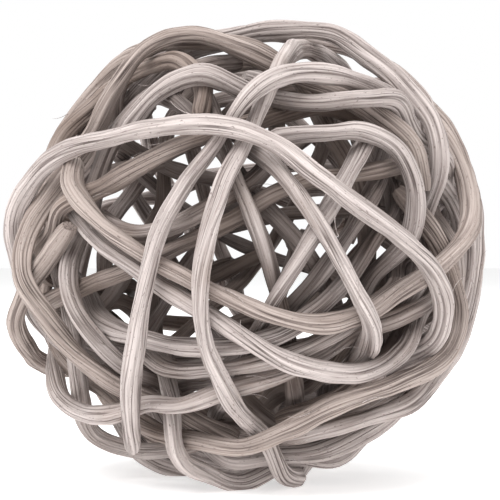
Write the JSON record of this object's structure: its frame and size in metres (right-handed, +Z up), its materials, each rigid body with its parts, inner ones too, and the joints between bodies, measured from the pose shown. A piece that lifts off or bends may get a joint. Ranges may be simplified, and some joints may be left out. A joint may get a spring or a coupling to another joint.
{
  "type": "decorative sphere",
  "caption": "Open ball wound from flattened lengths of grey-limed vine, crossing over and under one another round a hollow middle.",
  "frame": {"origin": "on the surface that the ball rests on, under the middle of the ball", "axes": "+Z up, -Y towards the front"},
  "size_m": [0.1, 0.101, 0.0976],
  "materials": {
    "limed_vine": "dry grey lime wash over vine, matt, grooved along its length",
    "brown_vine": "the same vine with the wash worn thin, showing more brown, matt"
  },
  "bodies": {
    "root": {"strand_01_deep_slant": "limed_vine", "strand_02_deep_upright": "brown_vine", "strand_03_inner_slant": "limed_vine", "strand_04_inner_brace": "limed_vine", "strand_05_left_cross_tie": "brown_vine", "strand_06_left_cross_bar": "limed_vine", "strand_07_inner_low_bar": "limed_vine", "strand_08_low_right_brace": "brown_vine", "strand_09_steep_slant": "limed_vine", "strand_10_long_slant": "limed_vine", "strand_11_left_tie": "brown_vine", "strand_12_kinked_bar": "limed_vine", "strand_13_left_inner_rise": "limed_vine", "strand_14_hook": "brown_vine", "strand_15_upper_bar": "limed_vine", "strand_16_upper_low_band": "limed_vine", "strand_17_smile": "brown_vine", "strand_18_low_smile": "limed_vine", "strand_19_low_band": "limed_vine", "strand_20_left_rise": "brown_vine", "strand_21_upright_bend": "limed_vine", "strand_22_left_upright": "limed_vine", "strand_23_left_edge": "brown_vine", "strand_24_bottom_band": "limed_vine", "strand_25_bottom_turn": "limed_vine", "strand_26_right_swing": "brown_vine", "strand_27_right_shoulder": "limed_vine", "strand_28_crown": "limed_vine", "strand_29_upper_left_edge": "brown_vine", "strand_30_high_arch": "limed_vine", "strand_31_far_upper_band": "limed_vine", "strand_32_far_lower_band": "brown_vine", "strand_33_far_middle_band": "limed_vine", "strand_34_far_steep_rise": "limed_vine", "strand_35_far_low_slant": "brown_vine", "strand_36_rear_foot": "limed_vine", "strand_37_far_left_rise": "limed_vine", "strand_38_far_right_rise": "brown_vine", "strand_39_far_upper_tie": "limed_vine"}
  },
  "joints": []
}
